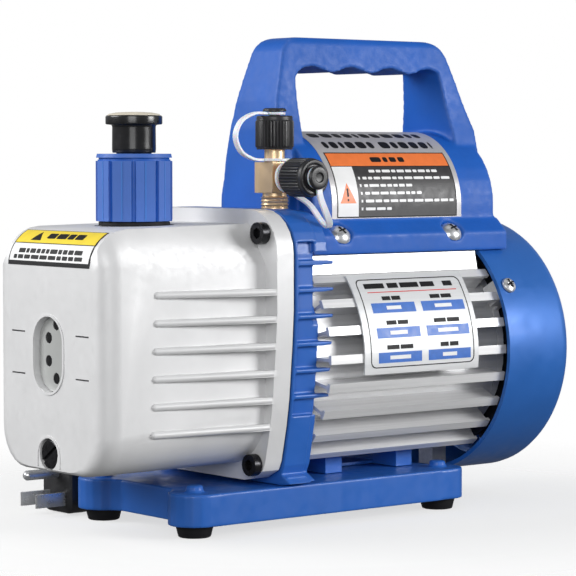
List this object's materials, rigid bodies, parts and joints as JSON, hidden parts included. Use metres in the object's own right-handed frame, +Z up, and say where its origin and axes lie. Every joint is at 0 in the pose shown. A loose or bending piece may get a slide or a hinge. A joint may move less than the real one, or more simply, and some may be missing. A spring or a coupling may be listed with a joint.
{
  "type": "rotary vane vacuum pump",
  "caption": "Portable rotary-vane vacuum pump: ribbed oil tank, finned motor with fan cover, carrying handle, flare intake tee, fill cap and mains lead on a footed base.",
  "frame": {"origin": "on the floor under the middle of the pump's box, measured without the mains lead", "axes": "+Z up, +X along the shaft from the oil tank to the fan cover, -Y towards the nameplate and the side flare port"},
  "size_m": [0.264, 0.232, 0.2245],
  "materials": {
    "blue_paint": "royal blue powder coat, satin",
    "blue_plastic": "moulded blue plastic, fine texture",
    "cast_alloy": "light silver painted casting, satin",
    "fin_alloy": "extruded aluminium with fine draw lines",
    "steel": "zinc plated, semi-bright",
    "nameplate": "silver printed plate",
    "core_steel": "bare steel and iron",
    "copper": "enamelled copper wire",
    "brass": "machined brass",
    "black_plastic": "black moulded plastic",
    "black_rubber": "black rubber",
    "cord": "black vinyl cord and plug",
    "black_oxide": "black oxide steel",
    "white_plastic": "flexible white plastic",
    "gasket": "oil-proof sheet gasket",
    "window": "oil level window"
  },
  "bodies": {
    "pump": {"housing_mount": "blue_paint", "base_plate": "blue_paint", "end_bracket": "blue_paint", "fan_cover": "blue_paint", "handle": "blue_plastic", "oil_tank": "cast_alloy", "rear_end_shield": "cast_alloy", "motor_housing": "fin_alloy", "fan_cover_screw_1": "steel", "fan_cover_screw_2": "steel", "fan_cover_screw_3": "steel", "handle_screw_1": "steel", "handle_screw_2": "steel", "handle_screw_3": "steel", "handle_screw_4": "steel", "front_bearing": "steel", "rear_bearing": "steel", "nameplate": "nameplate", "stator_core": "core_steel", "pump_stator": "core_steel", "pump_end_cover": "core_steel", "pump_flange": "core_steel", "stator_winding": "copper", "intake_tee": "brass", "capacitor": "black_plastic", "switch_frame": "black_plastic", "foot_front_left": "black_rubber", "foot_front_right": "black_rubber", "foot_rear_left": "black_rubber", "foot_rear_right": "black_rubber", "shaft_seal": "black_rubber", "cord_gland": "cord", "cord_drop": "cord", "cord_coil": "cord", "cord_tail": "cord", "mains_plug": "cord", "tank_screw_1": "black_oxide", "tank_screw_2": "black_oxide", "tank_screw_3": "black_oxide", "tank_screw_4": "black_oxide", "top_tether": "white_plastic", "side_tether": "white_plastic", "tank_gasket": "gasket", "sight_glass": "window"},
    "rotor": {"motor_shaft": "steel", "rotor_core": "core_steel", "cooling_fan": "black_plastic", "pump_rotor": "steel"},
    "right_vane": {"vane_right": "black_plastic"},
    "left_vane": {"vane_left": "black_plastic"},
    "switch_rocker": {"rocker": "black_plastic"},
    "fill_seal": {"fill_cap_seal": "black_rubber"},
    "fill_cap_body": {"fill_cap": "blue_plastic"},
    "exhaust_cap": {"exhaust_plug": "black_rubber"},
    "top_seal": {"top_cap_seal": "black_rubber"},
    "top_flare_cap": {"top_cap": "black_plastic"},
    "side_seal": {"side_cap_seal": "black_rubber"},
    "side_flare_cap": {"side_cap": "black_plastic"},
    "drain_washer": {"drain_seal": "black_rubber"},
    "drain_screw": {"drain_plug": "black_oxide"}
  },
  "joints": [
    {"name": "rotor_spin", "type": "hinge", "parent": "pump", "child": "rotor", "pos_m": [0, 0, 0.0757], "axis": [1, 0, 0], "continuous": true},
    {"name": "right_vane_slide", "type": "slide", "parent": "rotor", "child": "right_vane", "axis": [0, -1, 0], "range_m": [0, 0.0032]},
    {"name": "left_vane_slide", "type": "slide", "parent": "rotor", "child": "left_vane", "axis": [0, 1, 0], "range_m": [0, 0.0032]},
    {"name": "switch_tilt", "type": "hinge", "parent": "pump", "child": "switch_rocker", "pos_m": [0.1045, 0, 0.153], "axis": [0, -1, 0], "range_deg": [0, 18]},
    {"name": "fill_cap_lift", "type": "slide", "parent": "pump", "child": "fill_seal", "axis": [0, 0, 1], "range_m": [0, 0.0075]},
    {"name": "fill_cap_turn", "type": "hinge", "parent": "fill_seal", "child": "fill_cap_body", "pos_m": [-0.0854, 0, 0.15], "axis": [0, 0, 1], "range_deg": [0, 901]},
    {"name": "top_cap_lift", "type": "slide", "parent": "pump", "child": "top_seal", "axis": [0, 0, 1], "range_m": [0, 0.00635], "deforming": ["top_tether"]},
    {"name": "top_cap_turn", "type": "hinge", "parent": "top_seal", "child": "top_flare_cap", "pos_m": [-0.026, -0.027, 0.178], "axis": [0, 0, 1], "range_deg": [0, 1801]},
    {"name": "side_cap_lift", "type": "slide", "parent": "pump", "child": "side_seal", "axis": [0, -1, 0], "range_m": [0, 0.00635], "deforming": ["side_tether"]},
    {"name": "side_cap_turn", "type": "hinge", "parent": "side_seal", "child": "side_flare_cap", "pos_m": [-0.026, -0.048, 0.1593], "axis": [0, -1, 0], "range_deg": [0, 1801]},
    {"name": "drain_lift", "type": "slide", "parent": "pump", "child": "drain_washer", "axis": [-1, 0, 0], "range_m": [0, 0.0075]},
    {"name": "drain_turn", "type": "hinge", "parent": "drain_washer", "child": "drain_screw", "pos_m": [-0.128, 0, 0.0375], "axis": [-1, 0, 0], "range_deg": [0, 2161]},
    {"name": "exhaust_plug_pull", "type": "slide", "parent": "fill_cap_body", "child": "exhaust_cap", "axis": [0, 0, 1], "range_m": [0, 0.012]}
  ],
  "couplings": [
    {"joint": "fill_cap_turn", "follows": "fill_cap_lift", "rad_per_m": 2094.4},
    {"joint": "top_cap_turn", "follows": "top_cap_lift", "rad_per_m": 4947.4},
    {"joint": "side_cap_turn", "follows": "side_cap_lift", "rad_per_m": 4947.4},
    {"joint": "drain_turn", "follows": "drain_lift", "rad_per_m": 5026.5}
  ]
}
